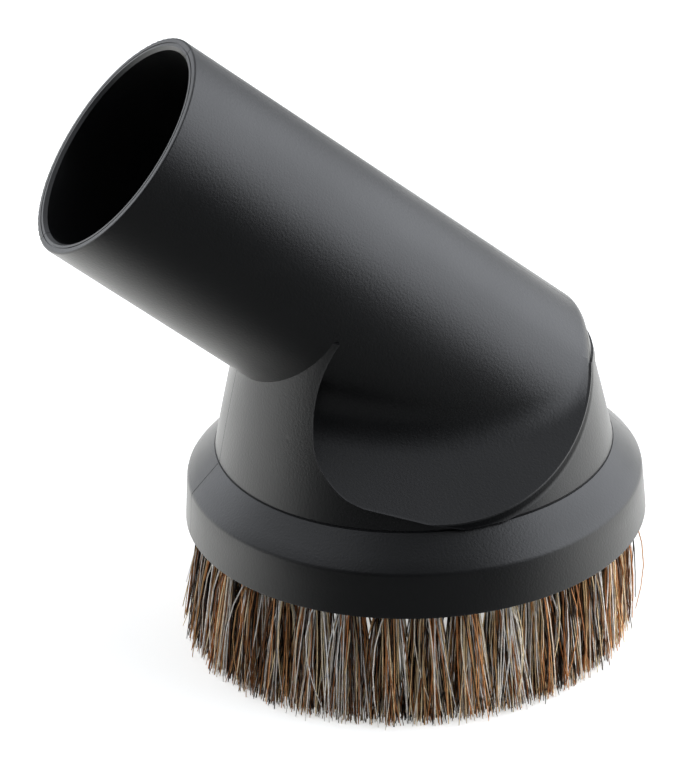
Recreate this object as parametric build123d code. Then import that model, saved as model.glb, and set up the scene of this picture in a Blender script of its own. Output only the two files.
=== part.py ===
from build123d import *
import math
import os

# A round dusting brush for a vacuum cleaner: a sloping socket tube, an elbow with two finger
# scoops, a domed neck, a flange with a bristle ring under it, and one row of hair tufts.
# Millimetres, +Z up, the tips of the hair on Z = 0, the tube rising towards -X, and XZ as the
# plane of symmetry. The origin is the centre of the box round the whole part, at its foot.

# Socket tube
SOCKET_BORE_D = 35.0
SOCKET_DEPTH = 40.0
TUBE_WALL = 2.0
STOP_LEDGE = 1.3
TUBE_SLOPE = 40.7
TUBE_REACH = 61.2
ELBOW_HEIGHT = 50.7
MOUTH_EDGE_ROUND = 0.3
MOUTH_LEAD_IN = 0.5
SHUT_OFF_WIDTH = 0.2
SHUT_OFF_DEPTH = 0.12

# Neck and elbow
NECK_OVER_ELBOW = 10.5
NECK_TAPER = 6.6
NECK_BULGE = 0.25
BODY_WALL = 2.2
HEEL_ROUND = 4.0
HEAD_ROD_UNDER_ELBOW = 10.0
SCOOP_RIDGE_OVER_ELBOW = 5.2
SCOOP_FLAT_UNDER_ELBOW = 2.7
SCOOP_SLOPE = 33.9
SCOOP_WALL_R = 30.7
SCOOP_CENTRE_X = 9.8
SCOOP_CENTRE_UNDER_ELBOW = 6.2
SCOOP_FOOT_UNDER_ELBOW = 17.9
SCOOP_FOOT_SLOPE = 14.0
SCOOP_CORNER = 8.0
SCOOP_COVE = 8.0
LIP_PROUD = 0.8
LIP_LEAN = 0.5
LIP_THICK = 1.3

# Flange
FLANGE_R = 37.5
RIM_HEIGHT = 7.5
RIM_DRAFT = 0.5
BAND_RISE = 5.2
BAND_RUN = 4.8
RIM_TOP_ROUND = 1.2
SKIRT_WALL = 1.85

# Bristle ring
RING_WIDTH = 6.55
RING_HEIGHT = 6.45
COLLAR_WALL = 3.1
COLLAR_HEIGHT = 3.25
RING_GAP = 0.1
BEAD_PROUD = 0.3
BEAD_HEIGHT = 3.4

# Tufts and their anchors
TUFT_COUNT = 34
TUFT_INSET = 5.1
TUFT_HOLE_D = 4.4
TUFT_HOLE_DEPTH = 5.6
TUFT_GAP = 0.05
HAIR_LENGTH = 20.0
HAIR_FLARE = 1.5
HAIR_TIP_DEPTH = 5.6
TIP_GAP = 0.35
LOCKS_PER_TUFT = 11
LOCK_GROOVE = 0.2
ANCHOR_THICK = 0.4
ANCHOR_HEIGHT = 1.6
ANCHOR_INSET = 0.5

TUBE_R = SOCKET_BORE_D / 2 + TUBE_WALL
RIM_TOP_Z = HAIR_LENGTH + RIM_HEIGHT
NECK_BASE_Z = RIM_TOP_Z + BAND_RISE
NECK_TOP_Z = ELBOW_HEIGHT + NECK_OVER_ELBOW
HEAD_ROD_FOOT_Z = ELBOW_HEIGHT - HEAD_ROD_UNDER_ELBOW
NECK_BASE_R = FLANGE_R - RIM_DRAFT - BAND_RUN
NECK_TOP_R = NECK_BASE_R - NECK_TAPER
SCOOP_RIDGE_Z = ELBOW_HEIGHT + SCOOP_RIDGE_OVER_ELBOW
SCOOP_FLAT_Z = ELBOW_HEIGHT - SCOOP_FLAT_UNDER_ELBOW
CHANNEL_TOP_Z = HAIR_LENGTH + RING_HEIGHT
COLLAR_TOP_Z = CHANNEL_TOP_Z + COLLAR_HEIGHT
SKIRT_R = FLANGE_R - SKIRT_WALL
RING_OUTER_R = SKIRT_R - RING_GAP
RING_MOUTH_R = RING_OUTER_R - RING_WIDTH
COLLAR_R = RING_MOUTH_R + COLLAR_WALL
TUFT_CIRCLE_R = FLANGE_R - TUFT_INSET
SLOPE = math.radians(TUBE_SLOPE)
MOUTH_X = -TUBE_REACH * math.cos(SLOPE)
MOUTH_Z = ELBOW_HEIGHT + TUBE_REACH * math.sin(SLOPE)
LOWEST_MOUTH_X = MOUTH_X - TUBE_R * math.sin(SLOPE)
SHIFT_X = -(LOWEST_MOUTH_X + FLANGE_R) / 2
FAR = 4 * FLANGE_R
CLOSE = 0.01
STEP_ANGLE = 360 / TUFT_COUNT


def turned(outline):
    """The solid turned round the head's axis from a closed outline of (radius, height) pairs."""
    return revolve(Plane.XZ * make_face(Polyline(*outline, close=True)), Axis.Z)


def slab(low, high):
    """The box between two corners."""
    size = [high[i] - low[i] for i in range(3)]
    middle = [(high[i] + low[i]) / 2 for i in range(3)]
    return Pos(*middle) * Box(*size)


def domed_neck(grow):
    """The neck's domed cone with its radius grown by that much."""
    base = (NECK_BASE_R + grow, NECK_BASE_Z)
    top = (NECK_TOP_R + grow, NECK_TOP_Z)
    middle = ((base[0] + top[0]) / 2 + NECK_BULGE, (base[1] + top[1]) / 2)
    side = ThreePointArc(base, middle, top)
    rest = Polyline(top, (0, NECK_TOP_Z), (0, NECK_BASE_Z), base)
    return revolve(Plane.XZ * make_face(side.edges() + rest.edges()), Axis.Z)


def tube_plane(distance):
    """The plane square to the tube, that far down the tube from its mouth, facing the mouth."""
    x = MOUTH_X + distance * math.cos(SLOPE)
    z = MOUTH_Z - distance * math.sin(SLOPE)
    return Plane(origin=(x, 0, z), x_dir=(0, 1, 0), z_dir=(-math.cos(SLOPE), 0, math.sin(SLOPE)))


def tube_rod(radius, start, end):
    """A round rod on the tube's axis, between two distances from the mouth."""
    return extrude(tube_plane(end) * Circle(radius), end - start)


def head_rod(radius, start, grow):
    """The tube's rod carried on into the head, down to where the neck fills the room around it."""
    rod = tube_rod(radius, start, TUBE_REACH + FLANGE_R)
    rod -= slab((-FAR, -FAR, -FAR), (FAR, FAR, HEAD_ROD_FOOT_Z))
    return rod - (slab((0, -FAR, NECK_BASE_Z), (FAR, FAR, NECK_TOP_Z)) - domed_neck(grow))


def scoop_side(grow):
    """The scoops' side outline, carried right across: a steep wall, a round corner and a foot."""
    centre_z = ELBOW_HEIGHT - SCOOP_CENTRE_UNDER_ELBOW
    foot_z = ELBOW_HEIGHT - SCOOP_FOOT_UNDER_ELBOW - grow / math.cos(math.radians(SCOOP_FOOT_SLOPE))
    wall = Pos(SCOOP_CENTRE_X, 0, centre_z) * Rot(90, 0, 0) * Cylinder(SCOOP_WALL_R + grow, 2 * FLANGE_R)
    over_foot = Pos(0, 0, foot_z) * Rot(0, SCOOP_FOOT_SLOPE, 0) * slab((-FAR, -FAR, 0), (FAR, FAR, FAR))
    side = wall & over_foot
    corner = side.edges().filter_by(Axis.Y).sort_by(Axis.X)[0]
    return fillet(corner, SCOOP_CORNER + grow) + slab((SCOOP_CENTRE_X, -FAR, 0), (FAR, FAR, FAR))


def scoop_room(floor_grow, wall_grow):
    """The room that both finger scoops take, open upwards and to the right, grown by those amounts."""
    ridge = SCOOP_RIDGE_Z - floor_grow / math.cos(math.radians(SCOOP_SLOPE))
    flat = SCOOP_FLAT_Z - floor_grow
    fall = math.tan(math.radians(SCOOP_SLOPE))
    inner_y = (ridge - flat) / fall
    outer_z = ridge - FAR * fall
    floor = [(-inner_y, flat), (inner_y, flat), (FAR, outer_z), (FAR, FAR), (-FAR, FAR), (-FAR, outer_z)]
    return extrude(Plane.YZ * make_face(Polyline(*floor, close=True)), FAR, both=True) & scoop_side(wall_grow)


def coves():
    """The hollow rounds between the tube and the two scoop floors."""
    fall = math.tan(math.radians(SCOOP_SLOPE))
    inner_y = (SCOOP_RIDGE_Z - SCOOP_FLAT_Z) / fall
    under = [(-FAR, SCOOP_RIDGE_Z - FAR * fall), (-FAR, -FAR), (FAR, -FAR), (FAR, SCOOP_RIDGE_Z + FAR * fall)]
    block = extrude(Plane.YZ * make_face(Polyline(*under, close=True)), FAR, both=True)
    sharp = tube_rod(TUBE_R, -FAR, FAR) + block
    rounded = fillet(sharp.edges().filter_by(GeomType.ELLIPSE), SCOOP_COVE)
    near = (rounded - sharp) & slab((-FAR, -FAR, 0), (FAR, -inner_y, FAR)) & domed_neck(0)
    return near + mirror(near, Plane.XZ)


def scoop_lips():
    """The low ledge that stands out from the neck under each scoop."""
    ledge = Pos(-LIP_LEAN, 0, 0) * domed_neck(LIP_PROUD)
    return (ledge & scoop_room(LIP_THICK, 0)) - scoop_room(0, 0)


def flange():
    """The flange: upright rim, sloping band, and the stepped channel for the bristle ring."""
    rim_top_r = FLANGE_R - RIM_DRAFT
    neck_inner_r = NECK_BASE_R - BODY_WALL
    collar_room = COLLAR_TOP_Z + RING_GAP
    ring = turned([
        (FLANGE_R, HAIR_LENGTH), (rim_top_r, RIM_TOP_Z), (NECK_BASE_R, NECK_BASE_Z),
        (neck_inner_r, NECK_BASE_Z), (neck_inner_r, collar_room),
        (COLLAR_R + RING_GAP, collar_room), (COLLAR_R + RING_GAP, CHANNEL_TOP_Z),
        (SKIRT_R, CHANNEL_TOP_Z), (SKIRT_R, HAIR_LENGTH)])
    corner = [edge for edge in ring.edges().filter_by(GeomType.CIRCLE)
              if abs(edge.center().Z - RIM_TOP_Z) < CLOSE and abs(edge.radius - rim_top_r) < CLOSE]
    return fillet(corner, RIM_TOP_ROUND)


def bead(radius):
    """The half-round bead that runs round the bristle ring."""
    z = HAIR_LENGTH + BEAD_HEIGHT
    section = Plane.XZ * Pos(RING_OUTER_R, z) * Circle(radius)
    return revolve(section, Axis.Z)


def rounded_heel(rod):
    """The outer rod with the edge rounded where the neck's surface cuts it off."""
    cut_edge = [edge for edge in rod.edges() if edge.geom_type == GeomType.BSPLINE]
    return fillet(cut_edge, HEEL_ROUND)


def outer_form():
    """The body's outside, above the flange, as one solid block."""
    neck = domed_neck(0) - scoop_room(0, 0) + coves()
    return rounded_heel(head_rod(TUBE_R, 0, 0)) + neck + scoop_lips()


def inner_form():
    """The room inside the body, from the socket's stop down to the neck's foot."""
    rod = head_rod(SOCKET_BORE_D / 2 - STOP_LEDGE, SOCKET_DEPTH, -BODY_WALL)
    return rod + (domed_neck(-BODY_WALL) - scoop_room(BODY_WALL, BODY_WALL))


def shut_off_line():
    """The fine ring on the mouth's end face where the core met the outer mould."""
    middle_r = TUBE_R - TUBE_WALL / 2
    outside = tube_rod(middle_r + SHUT_OFF_WIDTH / 2, 0, SHUT_OFF_DEPTH)
    return outside - tube_rod(middle_r - SHUT_OFF_WIDTH / 2, 0, SHUT_OFF_DEPTH)


def mouth_edges(solid, radius):
    """The solid's circular edges of that radius in the plane of the mouth."""
    plane = tube_plane(0)
    return [edge for edge in solid.edges().filter_by(GeomType.CIRCLE)
            if abs(edge.radius - radius) < CLOSE
            and abs(plane.to_local_coords(edge.arc_center).Z) < CLOSE]


def body():
    """The moulded body: the hollow outer form with its flange, socket and rounded mouth."""
    solid = outer_form() - inner_form() - tube_rod(SOCKET_BORE_D / 2, 0, SOCKET_DEPTH) + flange()
    solid = fillet(mouth_edges(solid, TUBE_R), MOUTH_EDGE_ROUND)
    solid = chamfer(mouth_edges(solid, SOCKET_BORE_D / 2), MOUTH_LEAD_IN)
    return solid - bead(BEAD_PROUD + RING_GAP) - shut_off_line()


def tuft_angles():
    """The angle of each tuft round the ring, in degrees."""
    return [(index + 0.5) * STEP_ANGLE for index in range(TUFT_COUNT)]


def bristle_ring():
    """The moulded ring that carries the tufts: a collar above, a snap bead, and the blind holes."""
    ring = turned([
        (RING_MOUTH_R, HAIR_LENGTH), (RING_MOUTH_R, COLLAR_TOP_Z), (COLLAR_R, COLLAR_TOP_Z),
        (COLLAR_R, CHANNEL_TOP_Z), (RING_OUTER_R, CHANNEL_TOP_Z), (RING_OUTER_R, HAIR_LENGTH)])
    ring += bead(BEAD_PROUD)
    hole = Cylinder(TUFT_HOLE_D / 2, 2 * TUFT_HOLE_DEPTH)
    return ring - [Rot(0, 0, angle) * Pos(TUFT_CIRCLE_R, 0, HAIR_LENGTH) * hole for angle in tuft_angles()]


def squared(turn):
    """A point of a rounded square of half width 1, at that angle."""
    across, along = math.cos(turn), math.sin(turn)
    reach = (across ** 4 + along ** 4) ** -0.25
    return across * reach, along * reach


def tuft():
    """One tuft on the +X side: a round foot in its hole, then the hair flaring to flat tips."""
    foot_r = TUFT_HOLE_D / 2 - TUFT_GAP
    tip_r = TUFT_CIRCLE_R + HAIR_FLARE
    half_step = math.radians(STEP_ANGLE / 2)
    root = []
    tips = []
    for index in range(2 * LOCKS_PER_TUFT):
        turn = math.pi * (index + 0.5) / LOCKS_PER_TUFT
        groove = LOCK_GROOVE if index % 2 else 0
        reach = foot_r - groove
        root.append((TUFT_CIRCLE_R + reach * math.cos(turn), reach * math.sin(turn), HAIR_LENGTH))
        across, along = squared(turn)
        radius = tip_r + across * (HAIR_TIP_DEPTH / 2 - groove)
        half_width = radius * math.tan(half_step) - TIP_GAP / 2 - groove
        tips.append((radius, along * half_width, 0))
    hair = loft([make_face(Polyline(*tips, close=True)), make_face(Polyline(*root, close=True))], ruled=True)
    foot_height = TUFT_HOLE_DEPTH - TUFT_GAP
    foot = Pos(TUFT_CIRCLE_R, 0, HAIR_LENGTH + foot_height / 2) * Cylinder(foot_r, foot_height)
    slot = Pos(TUFT_CIRCLE_R, 0, anchor_height()) * Box(
        ANCHOR_THICK + 2 * TUFT_GAP, TUFT_HOLE_D, ANCHOR_HEIGHT + 2 * TUFT_GAP)
    return hair + foot - slot


def anchor_height():
    """The height of an anchor's middle, a little under the top of its hole."""
    return HAIR_LENGTH + TUFT_HOLE_DEPTH - TUFT_GAP - ANCHOR_INSET - ANCHOR_HEIGHT / 2


def anchor():
    """One flat anchor across its hole, on the +X side, which the hair is folded over."""
    plate = Box(ANCHOR_THICK, TUFT_HOLE_D, ANCHOR_HEIGHT) & Cylinder(TUFT_HOLE_D / 2 - TUFT_GAP, TUFT_HOLE_D)
    return Pos(TUFT_CIRCLE_R, 0, anchor_height()) * plate


def write(name, shape):
    """Write one node, moved so that the origin is under the middle of the whole part."""
    export_step(Pos(SHIFT_X, 0, 0) * shape, os.path.join("parts", name + ".step"))


os.makedirs("parts", exist_ok=True)
write("brush_body", body())
write("bristle_ring", bristle_ring())
for number, angle in enumerate(tuft_angles(), start=1):
    write(f"tuft_{number:02d}", Rot(0, 0, angle) * tuft())
write("tuft_anchors", Compound([Rot(0, 0, angle) * anchor() for angle in tuft_angles()]))
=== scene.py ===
import math

import bmesh
import bpy
from mathutils import Matrix, Vector


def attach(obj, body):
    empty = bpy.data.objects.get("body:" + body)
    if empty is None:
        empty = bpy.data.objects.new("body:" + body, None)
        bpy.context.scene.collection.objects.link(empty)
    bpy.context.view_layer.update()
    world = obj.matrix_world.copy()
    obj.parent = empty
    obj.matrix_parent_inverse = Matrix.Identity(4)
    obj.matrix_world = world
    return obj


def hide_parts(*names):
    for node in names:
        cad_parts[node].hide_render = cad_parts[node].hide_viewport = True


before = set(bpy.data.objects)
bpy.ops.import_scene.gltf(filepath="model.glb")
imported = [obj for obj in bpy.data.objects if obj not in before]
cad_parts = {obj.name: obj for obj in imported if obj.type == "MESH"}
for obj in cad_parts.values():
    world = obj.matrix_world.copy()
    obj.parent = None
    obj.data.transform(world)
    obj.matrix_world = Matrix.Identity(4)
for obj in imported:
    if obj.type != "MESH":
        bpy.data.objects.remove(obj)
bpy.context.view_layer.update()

# Moulded body
# One black plastic moulding: socket tube, elbow with two finger scoops, domed neck and flange.
# Its outside has a fine eroded grain, the hairline where the two halves of the mould met, and painted shade
# at the neck's foot and under the scoops' lips.

HEAD_X = 0.010807
TUBE_SLOPE = math.radians(40.7)
ELBOW_Z = 0.0507
TUBE_OUTSIDE_R = 0.0195
TUBE_SKIN = 0.0010
NECK_FOOT_Z = 0.0327
NECK_FOOT_R = 0.0322
NECK_FALL = 0.2316
NECK_SKIN = 0.0011
SCOOP_RIDGE_Z = 0.0559
SCOOP_FALL = math.tan(math.radians(33.9))
BODY_BLACK = (0.0022, 0.0024, 0.0027)
BODY_ROUGHNESS = 0.4
FLOW_PATCHES = 55.0
GRAINS = 2600.0
GRAIN_DEPTH = 0.00004
RUBBED_WIDTH = 0.0005
RUBBED_COLOUR = (0.03, 0.03, 0.031, 1)
PARTING_LINE_EDGE = (0.00007, 0.00013)
FOOT_LINE_EDGE = (0.00006, 0.00016)
FOOT_SKIN = 0.0006
LINE_DEPTH = 0.0001
# Where the painted shade under the scoops' lips lies.
LIP_SHADE_TOP = (0.0001, 0.0003)
LIP_SHADE_BOTTOM = (0.0009, 0.0013)
LIP_SHADE_END = (-0.012, -0.004)
LIP_RISE = 0.00015
PLAIN_MIRROR = 0.5
# Mirroring at the fine lines, which is also the painted shade at the neck's foot and under the lips.
LINE_AND_SHADE_MIRROR = 0.12
CREASE = math.radians(30)
MERGE_DISTANCE = 0.000002


class Nodes:
    """Short calls that add nodes to a tree, their inputs fed by plain values or by other nodes."""

    def __init__(self, tree):
        self.tree = tree

    def feed(self, socket, value):
        if isinstance(value, bpy.types.NodeSocket):
            self.tree.links.new(value, socket)
        else:
            socket.default_value = value

    def add(self, kind, values=(), **settings):
        made = self.tree.nodes.new(kind)
        for key, value in settings.items():
            setattr(made, key, value)
        for key, value in dict(values).items():
            self.feed(made.inputs[key], value)
        return made

    def shader(self, kind, values=(), **settings):
        return self.add("ShaderNode" + kind, values, **settings)

    def maths(self, operation, *values):
        return self.shader("Math", enumerate(values), operation=operation).outputs[0]

    def product(self, first, *others):
        for other in others:
            first = self.maths("MULTIPLY", first, other)
        return first

    def vector(self, x, y, z):
        return self.shader("CombineXYZ", {0: x, 1: y, 2: z}).outputs[0]

    def dot(self, first, second):
        made = self.shader("VectorMath", {0: first, 1: second}, operation="DOT_PRODUCT")
        return made.outputs["Value"]

    def length(self, vector):
        return self.shader("VectorMath", {0: vector}, operation="LENGTH").outputs["Value"]

    def ramp(self, value, low, high, to_low, to_high, kind="LINEAR"):
        """The value carried from one range to another, and held at the ends of both."""
        limits = {"Value": value, "From Min": low, "From Max": high, "To Min": to_low, "To Max": to_high}
        return self.shader("MapRange", limits, interpolation_type=kind).outputs["Result"]


class Finish(Nodes):
    """A material with one principled surface, whose patterns lie in the object's coordinates."""

    def __init__(self, name):
        self.material = bpy.data.materials.new(name)
        self.material.use_nodes = True
        super().__init__(self.material.node_tree)
        self.tree.nodes.clear()
        self.surface = self.shader("BsdfPrincipled")
        self.shader("OutputMaterial", {"Surface": self.surface.outputs["BSDF"]})
        self.place = self.shader("TexCoord").outputs["Object"]

    def look(self, name, value):
        self.feed(self.surface.inputs[name], value)

    def noise(self, scale, detail=2.0):
        values = {"Vector": self.place, "Scale": scale, "Detail": detail}
        return self.shader("TexNoise", values).outputs["Fac"]

    def mix(self, factor, first, second):
        return self.shader("Mix", {0: factor, 6: first, 7: second}, data_type="RGBA").outputs[2]

    def relief(self, height, distance, strength=1.0):
        """Bumps of this height on the surface, over any that it has already."""
        bump = self.shader("Bump", {"Height": height, "Distance": distance, "Strength": strength})
        for earlier in self.surface.inputs["Normal"].links:
            self.feed(bump.inputs["Normal"], earlier.from_socket)
        self.look("Normal", bump.outputs["Normal"])


def smooth_copy(node, name):
    """A merged copy of a CAD node, shaded smooth up to the crease angle."""
    piece = bpy.data.objects.new(name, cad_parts[node].data.copy())
    bpy.context.scene.collection.objects.link(piece)
    cleaned = bmesh.new()
    cleaned.from_mesh(piece.data)
    bmesh.ops.remove_doubles(cleaned, verts=cleaned.verts, dist=MERGE_DISTANCE)
    cleaned.to_mesh(piece.data)
    cleaned.free()
    if "custom_normal" in piece.data.attributes:
        piece.data.attributes.remove(piece.data.attributes["custom_normal"])
    piece.data.shade_smooth()
    piece.data.set_sharp_from_angle(angle=CREASE)
    piece.data.materials.clear()
    return piece


def moulded_plastic(name, tint, roughness):
    """Black moulded plastic: fine grain, faint flow mottling, and edges rubbed a little paler."""
    finish = Finish(name)
    flow = finish.noise(FLOW_PATCHES, 4.0)
    rounded = finish.shader("Bevel", {"Radius": RUBBED_WIDTH}, samples=4).outputs["Normal"]
    plain = finish.shader("NewGeometry").outputs["Normal"]
    rubbed = finish.product(finish.ramp(finish.dot(rounded, plain), 0.99, 0.8, 0.0, 1.0), flow)
    mottled = finish.mix(flow, (*[c * 0.75 for c in tint], 1), (*[c * 1.25 for c in tint], 1))
    finish.look("Base Color", finish.mix(rubbed, mottled, RUBBED_COLOUR))
    finish.look("Roughness", finish.ramp(flow, 0.3, 0.7, roughness - 0.03, roughness + 0.04))
    finish.relief(finish.noise(GRAINS), GRAIN_DEPTH, 0.8)
    return finish


def parting_line(finish, along, from_middle, z, neck_inside):
    """A mask of the mould's parting line, on the outside of the tube, neck, band and rim."""
    over_elbow = finish.maths("SUBTRACT", z, ELBOW_Z)
    across_tube = finish.maths("ADD", finish.product(along, math.sin(TUBE_SLOPE)),
                               finish.product(over_elbow, math.cos(TUBE_SLOPE)))
    tube_inside = TUBE_OUTSIDE_R - TUBE_SKIN
    out_of_tube = finish.maths("SUBTRACT", finish.maths("ABSOLUTE", across_tube), tube_inside)
    out_of_neck = finish.maths("SUBTRACT", finish.maths("ABSOLUTE", along), neck_inside)
    outside = finish.maths("GREATER_THAN", finish.maths("MAXIMUM", out_of_tube, out_of_neck), 0.0)
    return finish.product(finish.ramp(from_middle, *PARTING_LINE_EDGE, 1.0, 0.0), outside)


def foot_line(finish, radius, z):
    """A mask of the line where the neck stands on the flange's sloping band: cut as a groove, and mirroring
    less as painted shade in that crease.
    """
    from_foot = finish.maths("ABSOLUTE", finish.maths("SUBTRACT", z, NECK_FOOT_Z))
    outside = finish.maths("GREATER_THAN", radius, NECK_FOOT_R - FOOT_SKIN)
    return finish.product(finish.ramp(from_foot, *FOOT_LINE_EDGE, 1.0, 0.0), outside)


def lip_shade(finish, along, from_middle, z, over_inside):
    """A mask of painted shade on the lip's outside just below each scoop's floor, fading out towards the
    tube.
    """
    floor_z = finish.maths("MULTIPLY_ADD", from_middle, -SCOOP_FALL, SCOOP_RIDGE_Z)
    below = finish.maths("SUBTRACT", floor_z, z)
    return finish.product(
        finish.ramp(below, *LIP_SHADE_TOP, 0.0, 1.0),
        finish.ramp(below, *LIP_SHADE_BOTTOM, 1.0, 0.0),
        finish.maths("GREATER_THAN", over_inside, NECK_SKIN + LIP_RISE),
        finish.maths("GREATER_THAN", z, NECK_FOOT_Z),
        finish.ramp(along, *LIP_SHADE_END, 0.0, 1.0))


def add_fine_marks(finish):
    """Cut both fine lines as grooves, and let the lines and the lips mirror less. Under the lips and at the
    neck's foot, the lower mirroring is painted shade.
    """
    x, y, z = finish.shader("SeparateXYZ", {0: finish.place}).outputs
    along = finish.maths("SUBTRACT", x, HEAD_X)
    from_middle = finish.maths("ABSOLUTE", y)
    radius = finish.length(finish.vector(along, y, 0.0))
    inside_at_floor = NECK_FOOT_R + NECK_FALL * NECK_FOOT_Z - NECK_SKIN
    neck_inside = finish.maths("MULTIPLY_ADD", z, -NECK_FALL, inside_at_floor)
    lines = finish.maths("MAXIMUM", parting_line(finish, along, from_middle, z, neck_inside),
                         foot_line(finish, radius, z))
    finish.relief(finish.maths("SUBTRACT", 1.0, lines), LINE_DEPTH)
    over_inside = finish.maths("SUBTRACT", radius, neck_inside)
    # Lower mirroring at the lines, and painted shade under the lips.
    lines_and_painted_shade = finish.maths("MAXIMUM", lines, lip_shade(finish, along, from_middle, z, over_inside))
    finish.look("Specular IOR Level", finish.ramp(lines_and_painted_shade, 0.0, 1.0, PLAIN_MIRROR, LINE_AND_SHADE_MIRROR))


body_finish = moulded_plastic("Black moulded plastic", BODY_BLACK, BODY_ROUGHNESS)
add_fine_marks(body_finish)
brush_body = smooth_copy("brush_body", "moulded_body")
brush_body.data.materials.append(body_finish.material)
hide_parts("brush_body")
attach(brush_body, "root")

# Bristle ring
# A separate black plastic ring snapped into the channel under the rim. It carries the tufts in
# blind holes, and only its underside and its inner wall show, from below.

RING_BLACK = (0.0065, 0.0065, 0.007)
RING_ROUGHNESS = 0.5

ring_finish = moulded_plastic("Ring plastic", RING_BLACK, RING_ROUGHNESS)
bristle_ring = smooth_copy("bristle_ring", "carrier_ring")
bristle_ring.data.materials.append(ring_finish.material)
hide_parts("bristle_ring")
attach(bristle_ring, "root")

# Tuft anchors
# Small flat strips of bare steel, one in each hole, which the hair is folded over.
# They are sealed in by the hair, so they keep their plain solids.

DARK_STEEL = (0.42, 0.41, 0.4, 1)
PALE_STEEL = (0.6, 0.59, 0.57, 1)
DRAWING_MARKS = 1500.0
DRAWING_DEPTH = 0.00001

anchor_finish = Finish("Anchor strip")
drawn = anchor_finish.noise(DRAWING_MARKS)
anchor_finish.look("Base Color", anchor_finish.mix(drawn, DARK_STEEL, PALE_STEEL))
anchor_finish.look("Roughness", anchor_finish.ramp(drawn, 0.3, 0.7, 0.3, 0.45))
anchor_finish.look("Metallic", 1.0)
anchor_finish.relief(drawn, DRAWING_DEPTH)
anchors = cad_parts["tuft_anchors"]
anchors.data.materials.clear()
anchors.data.materials.append(anchor_finish.material)

# Hair tufts
# Bundles of natural horse hair in one row round the ring. Each is folded into its hole, so it
# leaves the ring as a round bunch, and flares until the tips close up into one soft edge.

TUFT_COUNT = 34
TUFT_CIRCLE_R = 0.0324
TUFT_HOLE_R = 0.0021
HAIR_LENGTH = 0.020
HAIR_IN_HOLE = 0.0005
HAIRS_PER_TUFT = 270
HAIR_R = 0.00014
HAIR_STEPS = 6
HAIR_SIDES = 3
TIP_THINNING = 0.45
TIP_OUTWARD = 0.0016
TIP_LEAN = 0.0017
TIP_DEPTH = 0.003
TIP_WIDTH = 0.0036
TIP_RISE = 0.0022
RISE_POWER = 3.0
ROOT_PLACE_KEPT = 0.75
FLARE_POWER = 1.25
STRAY = 0.0023
STRAY_POWER = 6.0
BEND = 0.0005
STRAY_BEND = 0.0018
SEED_SPACING = 17.0
PATCH_SPACING = 0.01
LOCKS = 700.0
LOCK_CONTRAST = 1.4
TONE_SHIFT = -0.14
STREAKS = 900.0
STREAK_DEPTH = 0.00001
HAIR_MIRROR = 0.2
HAIR_TONES = [
    (0.0, (0.012, 0.007, 0.005)),
    (0.24, (0.03, 0.015, 0.009)),
    (0.38, (0.2, 0.085, 0.033)),
    (0.54, (0.6, 0.23, 0.075)),
    (0.68, (0.66, 0.43, 0.2)),
    (0.84, (0.85, 0.7, 0.44)),
    (1.0, (0.86, 0.83, 0.77))]


def horse_hair():
    """Mixed natural hair: rust, tan, off-white and near black, each hair darker towards its root as painted
    shade under the ring.
    """
    finish = Finish("Horse hair")
    tone = finish.shader("Attribute", attribute_name="tone").outputs["Fac"]
    along = finish.shader("Attribute", attribute_name="along").outputs["Fac"]
    tones = finish.shader("ValToRGB", {"Fac": tone})
    elements = tones.color_ramp.elements
    while len(elements) < len(HAIR_TONES):
        elements.new(0.5)
    for element, (position, colour) in zip(elements, HAIR_TONES):
        element.position = position
        element.color = (*colour, 1)
    streak = finish.noise(STREAKS, 3.0)
    # Random streaks, times a painted shade that darkens each hair towards its root.
    streaks_and_root_shade = finish.product(finish.ramp(streak, 0.3, 0.7, 0.82, 1.28),
                           finish.ramp(along, 0.0, 1.0, 0.85, 1.15))
    tinted = finish.shader("VectorMath", {0: tones.outputs["Color"], 3: streaks_and_root_shade}, operation="SCALE")
    finish.look("Base Color", tinted.outputs["Vector"])
    finish.look("Roughness", finish.ramp(streak, 0.3, 0.7, 0.45, 0.6))
    finish.look("Specular IOR Level", HAIR_MIRROR)
    finish.relief(streak, STREAK_DEPTH)
    return finish.material


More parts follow.
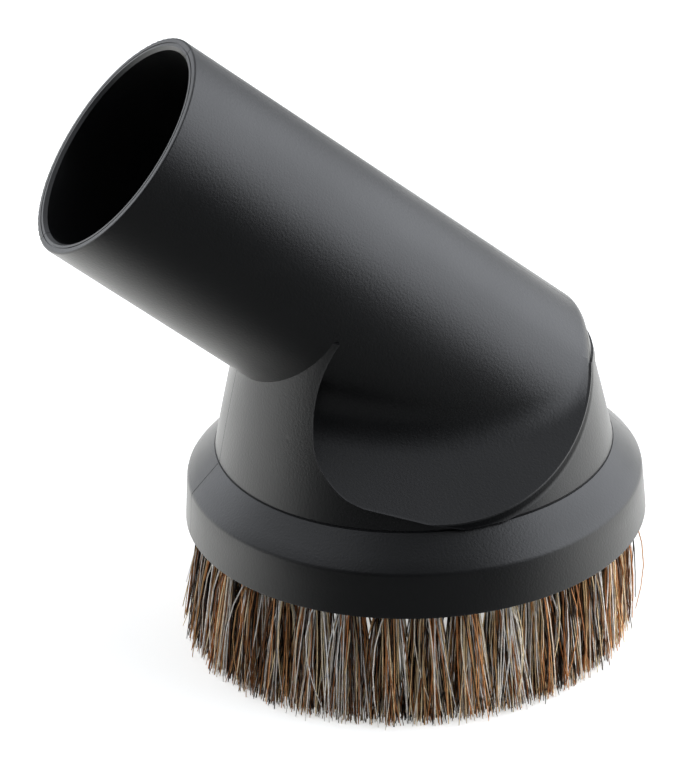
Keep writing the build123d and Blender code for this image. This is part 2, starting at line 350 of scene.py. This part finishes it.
class TuftTree(Nodes):
    """Geometry nodes that grow one tuft of hair: named sizes go in and a plain mesh comes out."""

    COUNTS = ("Hairs", "Seed")
    SIZES = ("Angle", "Root radius", "Length", "Tip shift", "Tip depth", "Tip width", "Stray", "Hair radius")

    def __init__(self, hair_material):
        super().__init__(bpy.data.node_groups.new("Grow tuft", "GeometryNodeTree"))
        sockets = self.tree.interface
        sockets.new_socket("Geometry", in_out="OUTPUT", socket_type="NodeSocketGeometry")
        for name in self.COUNTS:
            sockets.new_socket(name, in_out="INPUT", socket_type="NodeSocketInt")
        for name in self.SIZES:
            sockets.new_socket(name, in_out="INPUT", socket_type="NodeSocketFloat")
        self.given = self.add("NodeGroupInput").outputs
        self.step = self.shape("SplineParameter")
        tuft = self.set_out(self.thicken(self.draw(self.plan())))
        painted = self.shape("SetMaterial", {"Geometry": tuft, "Material": hair_material})
        self.add("NodeGroupOutput", {0: painted})

    def shape(self, kind, values=(), **settings):
        return self.add("GeometryNode" + kind, values, **settings).outputs[0]

    def chance(self, low, high, salt):
        """A random value for each hair, from the tuft's seed and this salt."""
        seed = self.maths("ADD", self.product(self.given["Seed"], SEED_SPACING), float(salt))
        made = self.add("FunctionNodeRandomValue", {"Seed": seed}, data_type="FLOAT")
        self.feed(made.inputs[2], low)
        self.feed(made.inputs[3], high)
        return made.outputs[1]

    def keep(self, geometry, name, value, kind):
        values = {"Geometry": geometry, "Name": name, "Value": value}
        return self.shape("StoreNamedAttribute", values, data_type=kind, domain="POINT")

    def kept(self, name):
        return self.shape("InputNamedAttribute", {"Name": name}, data_type="FLOAT_VECTOR")

    def plan(self):
        """One point per hair, which keeps the hair's root, tip, sway and tone."""
        given = self.given
        turn = self.chance(0.0, math.tau, 1)
        share = self.maths("SQRT", self.chance(0.0, 1.0, 2))
        cosine = self.maths("COSINE", turn)
        sine = self.maths("SINE", turn)
        root_x = self.product(share, given["Root radius"], cosine)
        root_y = self.product(share, given["Root radius"], sine)
        loose = self.maths("POWER", self.chance(0.0, 1.0, 3), STRAY_POWER)
        straying = self.product(loose, given["Stray"])
        outward = self.product(share, cosine)
        outward = self.maths("MULTIPLY_ADD", outward, ROOT_PLACE_KEPT, self.chance(-0.4, 0.4, 4))
        sideways = self.product(share, sine)
        sideways = self.maths("MULTIPLY_ADD", sideways, ROOT_PLACE_KEPT, self.chance(-0.65, 0.65, 5))
        tip_x = self.maths("ADD", self.product(outward, given["Tip depth"]), given["Tip shift"])
        tip_x = self.maths("MULTIPLY_ADD", straying, self.chance(-0.6, 0.7, 6), tip_x)
        tip_y = self.product(sideways, given["Tip width"])
        tip_y = self.maths("MULTIPLY_ADD", straying, self.chance(-1.0, 1.0, 7), tip_y)
        tip_z = self.product(self.maths("POWER", self.chance(0.0, 1.0, 8), RISE_POWER), TIP_RISE)
        bend = self.maths("MULTIPLY_ADD", loose, STRAY_BEND, BEND)
        sway_x = self.product(bend, self.chance(-1.0, 1.0, 9))
        sway_y = self.product(bend, self.chance(-1.0, 1.0, 10))
        points = self.shape("Points", {"Count": given["Hairs"]})
        points = self.keep(points, "root", self.vector(root_x, root_y, given["Length"]), "FLOAT_VECTOR")
        points = self.keep(points, "tip", self.vector(tip_x, tip_y, tip_z), "FLOAT_VECTOR")
        points = self.keep(points, "sway", self.vector(sway_x, sway_y, 0.0), "FLOAT_VECTOR")
        return self.keep(points, "tone", self.tone(root_x, root_y), "FLOAT")

    def tone(self, root_x, root_y):
        """The tone of each hair, nearly the same for neighbours, which makes small locks."""
        patch = self.vector(root_x, root_y, self.product(self.given["Seed"], PATCH_SPACING))
        lock = self.shader("TexNoise", {"Vector": patch, "Scale": LOCKS, "Detail": 0.0}).outputs[0]
        own = self.maths("ADD", self.chance(-0.6, 0.6, 11), TONE_SHIFT)
        return self.shader("Clamp", {0: self.maths("MULTIPLY_ADD", lock, LOCK_CONTRAST, own)}).outputs[0]

    def draw(self, points):
        """A curve per point, from the root to the tip and bowed by the sway."""
        strand = self.shape("CurvePrimitiveLine", {"End": (0.0, 0.0, 1.0)})
        strand = self.shape("ResampleCurve", {"Curve": strand, "Count": HAIR_STEPS})
        hairs = self.shape("InstanceOnPoints", {"Points": points, "Instance": strand})
        hairs = self.shape("RealizeInstances", {"Geometry": hairs})
        flare = self.maths("POWER", self.step, FLARE_POWER)
        ends = {0: flare, 4: self.kept("root"), 5: self.kept("tip")}
        straight = self.shader("Mix", ends, data_type="VECTOR").outputs[1]
        bow = self.maths("SINE", self.product(self.step, math.pi))
        bowed = self.shader("VectorMath", {0: self.kept("sway"), 3: bow}, operation="SCALE").outputs[0]
        placed = self.shader("VectorMath", {0: straight, 1: bowed}, operation="ADD").outputs[0]
        hairs = self.shape("SetPosition", {"Geometry": hairs, "Position": placed})
        return self.keep(hairs, "along", self.step, "FLOAT")

    def thicken(self, hairs):
        """The curves as solid hairs, thinner towards their tips."""
        width = self.maths("MULTIPLY_ADD", self.step, -TIP_THINNING, 1.0)
        hairs = self.shape("SetCurveRadius", {"Curve": hairs, "Radius": width})
        profile = {"Resolution": HAIR_SIDES, "Radius": self.given["Hair radius"]}
        section = self.shape("CurvePrimitiveCircle", profile)
        return self.shape("CurveToMesh", {
            "Curve": hairs, "Profile Curve": section, "Scale": width, "Fill Caps": True})

    def set_out(self, tuft):
        """The tuft moved out to its circle, and turned round the head to its own angle."""
        tuft = self.shape("Transform", {"Geometry": tuft, "Translation": (TUFT_CIRCLE_R, 0.0, 0.0)})
        turned = self.vector(0.0, 0.0, self.given["Angle"])
        tuft = self.shape("Transform", {
            "Geometry": tuft, "Translation": (HEAD_X, 0.0, 0.0), "Rotation": turned})
        return self.shape("RealizeInstances", {"Geometry": tuft})


def grow_tuft(tree, number, settings):
    """One tuft as a plain mesh piece, grown by the node tree with these named inputs."""
    seedling = bpy.data.objects.new("seedling", bpy.data.meshes.new("seedling"))
    bpy.context.scene.collection.objects.link(seedling)
    grower = seedling.modifiers.new("Grow", "NODES")
    grower.node_group = tree
    inputs = [item for item in tree.interface.items_tree if item.in_out == "INPUT"]
    sockets = {item.name: item.identifier for item in inputs}
    for name, value in settings.items():
        grower[sockets[name]] = value
    bpy.context.view_layer.update()
    evaluated = seedling.evaluated_get(bpy.context.evaluated_depsgraph_get())
    mesh = bpy.data.meshes.new_from_object(evaluated)
    bpy.data.objects.remove(seedling)
    piece = bpy.data.objects.new(f"hair_tuft_{number:02d}", mesh)
    bpy.context.scene.collection.objects.link(piece)
    mesh.shade_smooth()
    return piece


tuft_tree = TuftTree(horse_hair()).tree
for number in range(1, TUFT_COUNT + 1):
    angle = (number - 0.5) * math.tau / TUFT_COUNT
    tuft = grow_tuft(tuft_tree, number, {
        "Hairs": HAIRS_PER_TUFT, "Seed": number, "Angle": angle, "Root radius": TUFT_HOLE_R,
        "Length": HAIR_LENGTH + HAIR_IN_HOLE, "Tip shift": TIP_OUTWARD - TIP_LEAN * math.cos(angle),
        "Tip depth": TIP_DEPTH, "Tip width": TIP_WIDTH, "Stray": STRAY, "Hair radius": HAIR_R})
    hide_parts(f"tuft_{number:02d}")
    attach(tuft, "root")

# Floor and backdrop
# A white sheet under a pale surround. The camera sees both at full white where no shadow falls.
# What the plastic mirrors is bright at the sides and behind, and dark towards the camera.

VIEW_AZIMUTH = math.radians(11.957)
FORWARD = (math.sin(VIEW_AZIMUTH), math.cos(VIEW_AZIMUTH), 0)
ACROSS = (math.cos(VIEW_AZIMUTH), -math.sin(VIEW_AZIMUTH), 0)
SHEET_CORNERS = [(-4, -4, 0), (4, -4, 0), (4, 4, 0), (-4, 4, 0)]
SHEET_WHITE = (0.8, 0.8, 0.8, 1)
SHEET_SHADE_BEFORE_BRUSH = (0.17, 0.17, 0.163, 1)
SHEET_LIGHT_BEHIND_BRUSH = (0.85, 0.84, 0.8, 1)
SHEET_GLOW = 0.55
LIT_FROM = -0.045
LIT_FULLY_FROM = 0.02
LIT_SIDE_SHARE = 0.35
GLOW_FADE = (0.3, 0.9, 1.4, 0.3)
GLOW_TINT = (1, 1, 0.97, 1)
SURROUND_STRENGTH = 0.72
RIGHT_BOX_STRENGTH = 3.3
LEFT_BOX_STRENGTH = 2.0
HIGH_BOX_STRENGTH = 1.1
STUDIO_TINT = (0.95, 0.98, 1.04, 1)


def white_sheet():
    """White paper. In the plastic's reflections it has painted light behind the brush, partly as a glow, and
    painted shade before it.
    """
    finish = Finish("White sheet")
    rays = finish.shader("LightPath").outputs
    away = finish.dot(finish.place, FORWARD)
    aside = finish.maths("ABSOLUTE", finish.dot(finish.place, ACROSS))
    behind = finish.maths("MULTIPLY_ADD", aside, LIT_SIDE_SHARE, away)
    lit = finish.ramp(behind, LIT_FROM, LIT_FULLY_FROM, 0.0, 1.0)
    mirrored = finish.mix(lit, SHEET_SHADE_BEFORE_BRUSH, SHEET_LIGHT_BEHIND_BRUSH)
    far_fade = finish.ramp(finish.length(finish.place), *GLOW_FADE)
    # Painted light: in reflections the sheet glows where it counts as lit.
    painted_glow = finish.product(rays["Is Glossy Ray"], lit, far_fade)
    finish.look("Base Color", finish.mix(rays["Is Glossy Ray"], SHEET_WHITE, mirrored))
    finish.look("Roughness", 0.9)
    finish.look("Specular IOR Level", 0.0)
    finish.look("Emission Color", GLOW_TINT)
    finish.look("Emission Strength", finish.maths("MULTIPLY_ADD", rays["Is Camera Ray"], SHEET_GLOW, painted_glow))
    finish.material.cycles.emission_sampling = "NONE"
    return finish.material


def studio_light(sky):
    """How bright the surround is in each direction, with a soft box on each side and one high up."""

    def soft(value, low, high, to_low, to_high):
        return sky.ramp(value, low, high, to_low, to_high, "SMOOTHSTEP")

    direction = sky.shader("TexCoord").outputs["Generated"]
    behind = sky.dot(direction, FORWARD)
    sideways = sky.dot(direction, ACROSS)
    height = sky.shader("SeparateXYZ", {0: direction}).outputs["Z"]
    surround = soft(behind, -0.85, 0.25, 0.02, SURROUND_STRENGTH)
    right_box = sky.product(
        soft(sideways, 0.42, 0.72, 0.0, RIGHT_BOX_STRENGTH),
        soft(behind, -0.75, -0.25, 0.0, 1.0),
        soft(behind, 0.3, 0.8, 1.0, 0.6))
    left_box = sky.product(
        soft(sideways, -0.45, -0.75, 0.0, LEFT_BOX_STRENGTH),
        soft(behind, 0.05, 0.5, 0.0, 1.0))
    side_boxes = sky.product(sky.maths("ADD", right_box, left_box), soft(height, 0.97, 0.65, 0.0, 1.0))
    high_box = sky.product(
        soft(sideways, -0.25, -0.5, 0.0, HIGH_BOX_STRENGTH),
        soft(behind, -0.75, -0.4, 0.0, 1.0),
        soft(height, 0.5, 0.75, 0.0, 1.0))
    return sky.maths("ADD", surround, sky.maths("ADD", side_boxes, high_box))


sheet = bpy.data.meshes.new("white_sheet")
sheet.from_pydata(SHEET_CORNERS, [], [(0, 1, 2, 3)])
floor = bpy.data.objects.new("white_sheet", sheet)
bpy.context.scene.collection.objects.link(floor)
sheet.materials.append(white_sheet())

world = bpy.data.worlds.new("Studio")
bpy.context.scene.world = world
world.use_nodes = True
sky = Nodes(world.node_tree)
sky.tree.nodes.clear()
studio = sky.shader("Background", {"Color": STUDIO_TINT, "Strength": studio_light(sky)}).outputs[0]
white = sky.shader("Background", {"Color": (1, 1, 1, 1), "Strength": 1.0}).outputs[0]
seen = sky.shader("LightPath").outputs["Is Camera Ray"]
choice = sky.shader("MixShader", {0: seen, 1: studio, 2: white}).outputs[0]
sky.shader("OutputWorld", {"Surface": choice})

# Camera
# It stands where the photograph was taken from: 27 degrees above the floor, 12 degrees round to
# the tube's side and 0.88 m from the origin. Its lens is long, and it is tilted a little sideways.

CAMERA_PLACE = Vector((-0.15836, -0.74482, 0.43387))
ELEVATION = math.radians(27.125)
ROLL = math.radians(-1.888)
SENSOR_WIDTH = 36.0
LENS_LENGTH = 279.2
NEAREST_SEEN = 0.01

upward = Vector((0, 0, 1))
forward = Vector(FORWARD)
level = Vector(ACROSS)
backward = upward * math.sin(ELEVATION) - forward * math.cos(ELEVATION)
upright = upward * math.cos(ELEVATION) + forward * math.sin(ELEVATION)
right = level * math.cos(ROLL) + upright * math.sin(ROLL)
up = upright * math.cos(ROLL) - level * math.sin(ROLL)
lens = bpy.data.cameras.new("camera")
lens.sensor_fit = "HORIZONTAL"
lens.sensor_width = SENSOR_WIDTH
lens.lens = LENS_LENGTH
lens.clip_start = NEAREST_SEEN
viewer = bpy.data.objects.new("camera", lens)
bpy.context.scene.collection.objects.link(viewer)
turn = Matrix((right, up, backward)).transposed().to_4x4()
viewer.matrix_world = Matrix.Translation(CAMERA_PLACE) @ turn
bpy.context.scene.camera = viewer
bpy.context.scene.view_settings.view_transform = "Standard"
